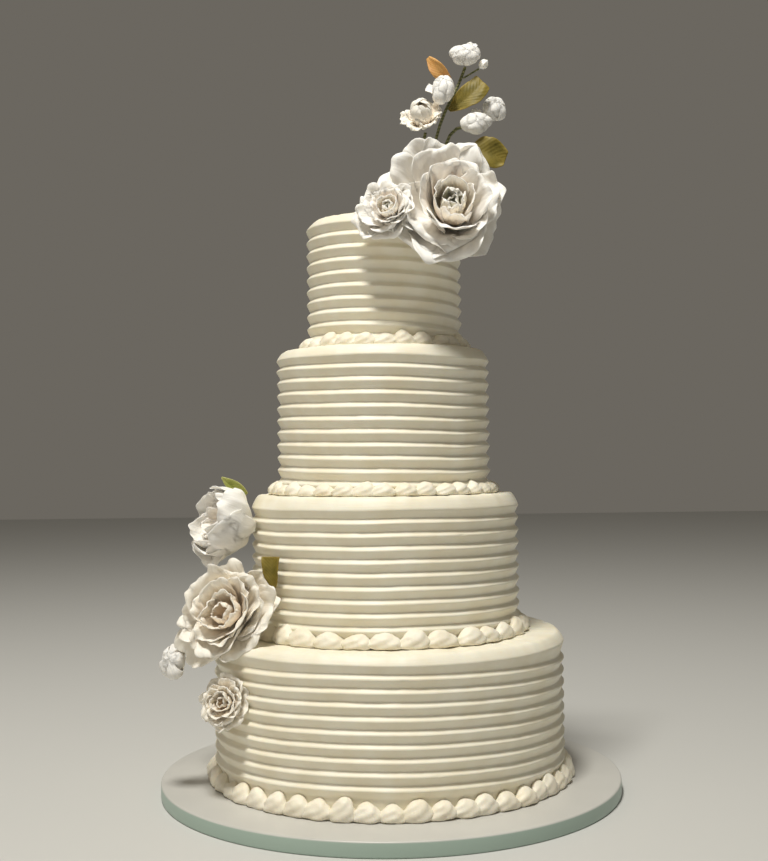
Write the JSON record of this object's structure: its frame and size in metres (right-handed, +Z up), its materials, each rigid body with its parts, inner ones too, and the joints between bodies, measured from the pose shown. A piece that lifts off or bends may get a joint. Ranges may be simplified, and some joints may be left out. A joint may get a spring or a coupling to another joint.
{
  "type": "tiered wedding cake",
  "caption": "Round tiered wedding cake in combed ivory buttercream with piped shell borders and sugar flowers, on a flat round board.",
  "frame": {"origin": "centre of the cake board's underside", "axes": "+Z up through the centre of the tiers; -Y is the front, where the camera sees the top flowers right of centre"},
  "size_m": [0.4064, 0.4064, 0.6592],
  "materials": {
    "board": "satin embossed foil paper over card",
    "buttercream": "combed ivory buttercream, soft sheen",
    "piped_buttercream": "piped ivory buttercream, soft sheen",
    "sugar_white": "dry white sugar paste petals",
    "sugar_cream": "dry cream sugar paste petals, peach in the folds",
    "leaf_olive": "dusted sugar paste leaf, olive and gold",
    "leaf_tan": "dusted sugar paste leaf, tan",
    "leaf_lime": "dusted sugar paste leaf, pale lime",
    "stem": "floral wire in green tape"
  },
  "bodies": {
    "root": {"board": "board", "tier_bottom": "buttercream", "tier_third": "buttercream", "tier_second": "buttercream", "tier_top": "buttercream", "border_bottom": "piped_buttercream", "border_third": "piped_buttercream", "border_second": "piped_buttercream", "border_top": "piped_buttercream", "peony_top": "sugar_white", "peony_top_small": "sugar_white", "rosebud": "sugar_cream", "blossom_top": "sugar_white", "blossom_mid": "sugar_white", "blossom_right": "sugar_white", "blossom_far_right": "sugar_white", "bud_top": "sugar_white", "peony_left": "sugar_white", "rose_large": "sugar_cream", "rose_small": "sugar_cream", "blossom_left": "sugar_white", "leaf_top_left": "leaf_tan", "leaf_top_middle": "leaf_olive", "leaf_top_right": "leaf_olive", "leaf_lime": "leaf_lime", "leaf_ledge": "leaf_olive", "stem_left": "stem", "stem_right": "stem", "stem_rosebud": "stem", "twig_mid": "stem", "twig_far_right": "stem", "twig_bud": "stem", "twig_left": "stem", "wire_leaf": "stem"}
  },
  "joints": []
}
